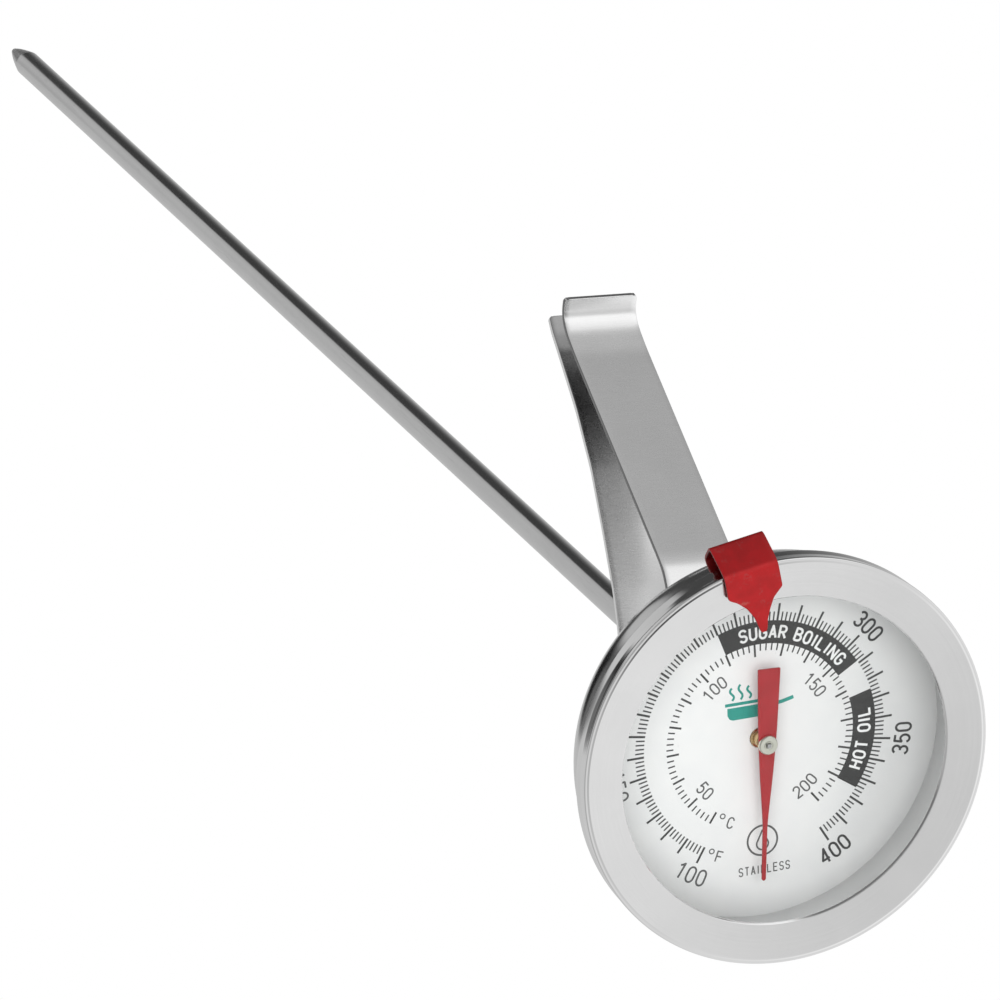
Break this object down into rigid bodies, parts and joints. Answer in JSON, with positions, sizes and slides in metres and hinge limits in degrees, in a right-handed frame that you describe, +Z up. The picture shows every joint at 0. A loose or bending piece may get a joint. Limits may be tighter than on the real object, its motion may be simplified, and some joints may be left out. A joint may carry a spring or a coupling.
{
  "type": "dial thermometer",
  "caption": "Bimetal dial thermometer: round steel case on a long pointed probe stem, glass front, red pointer, sliding spring pan clip and a red marker on the rim.",
  "frame": {"origin": "point of the stem, from which immersion depth is counted", "axes": "+Z up the stem from its point to the dial, which faces +Z; +Y towards twelve o'clock on the dial, and +X towards three o'clock"},
  "size_m": [0.056, 0.0678, 0.3199],
  "materials": {
    "case": "drawn stainless, satin",
    "bezel": "stainless, turned satin front with a bright rim",
    "lens": "clear, polished",
    "gasket": "matt",
    "dial_ring": "plain bright steel",
    "dial": "white enamel with black print",
    "stem": "stainless, polished along its length",
    "bush": "turned",
    "coil": "rolled bimetal strip",
    "spindle": "drawn wire",
    "pointer": "red paint, satin",
    "hub": "plain",
    "marker": "red paint, satin",
    "clip": "stainless spring strip, fine grain along its length"
  },
  "bodies": {
    "case": {"case_cup": "case", "bezel_ring": "bezel", "lens": "lens", "lens_gasket": "gasket", "dial_ring": "dial_ring", "dial_plate": "dial", "stem_collar": "stem", "stem_washer": "stem", "stem_tube": "stem", "stem_tip": "stem", "upper_bearing": "bush", "mid_guide_bush": "bush", "lower_guide_bush": "bush", "bimetal_coil": "coil", "coil_anchor": "stem"},
    "movement": {"coil_coupling": "bush", "spindle": "spindle", "pointer": "pointer", "pointer_hub": "hub"},
    "marker": {"marker_clip": "marker"},
    "clip": {"clip_front_leaf": "clip"},
    "clip_rear": {"clip_rear_leaf": "clip"}
  },
  "joints": [
    {"name": "pointer_turn", "type": "hinge", "parent": "case", "child": "movement", "pos_m": [0, 0, 0.3125], "axis": [0, 0, 1], "range_deg": [-332, 28]},
    {"name": "marker_turn", "type": "hinge", "parent": "case", "child": "marker", "pos_m": [0, 0, 0.3158], "axis": [0, 0, 1], "continuous": true},
    {"name": "clip_slide", "type": "slide", "parent": "case", "child": "clip", "axis": [0, 0, 1], "range_m": [-0.225, 0]},
    {"name": "clip_open", "type": "hinge", "parent": "clip", "child": "clip_rear", "pos_m": [-0.00078, -0.00887, 0.2875], "axis": [0.9962, -0.0872, 0], "range_deg": [-6, 0], "stiffness_Nm_per_rad": 0.8}
  ]
}
